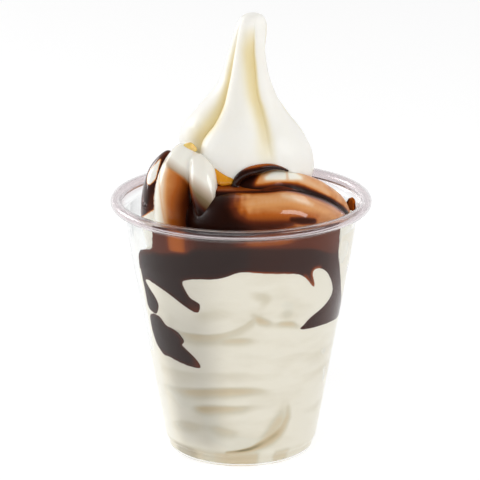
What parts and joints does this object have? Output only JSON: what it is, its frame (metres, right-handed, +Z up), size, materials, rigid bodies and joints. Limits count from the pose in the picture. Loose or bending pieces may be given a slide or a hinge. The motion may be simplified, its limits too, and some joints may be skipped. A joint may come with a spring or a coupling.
{
  "type": "soft-serve sundae in a clear cup",
  "caption": "Soft-serve sundae in a clear plastic cup with a rolled rim: a tall fluted peak over caramel-coated rolls, dark fudge sauce and pale soft serve pressed against the wall.",
  "frame": {"origin": "centre of the ring that the cup stands on, in the plane of that ring", "axes": "+Z up along the cup's axis, towards the peak; -Y is the front, where the coated roll lies to the right; +X to the right of the front"},
  "size_m": [0.0918, 0.0918, 0.1573],
  "materials": {
    "clear_plastic": "clear, glossy",
    "soft_serve": "smooth, softly moist ice cream",
    "coated_serve": "ice cream under a thin glossy caramel glaze",
    "fudge": "glossy dark chocolate sauce"
  },
  "bodies": {
    "root": {"cup": "clear_plastic", "cup_soft_serve": "soft_serve", "fudge_sauce": "fudge", "front_roll": "coated_serve", "back_roll": "coated_serve", "left_petal": "soft_serve", "left_fold": "soft_serve", "peak": "soft_serve", "rear_roll": "soft_serve"}
  },
  "joints": []
}
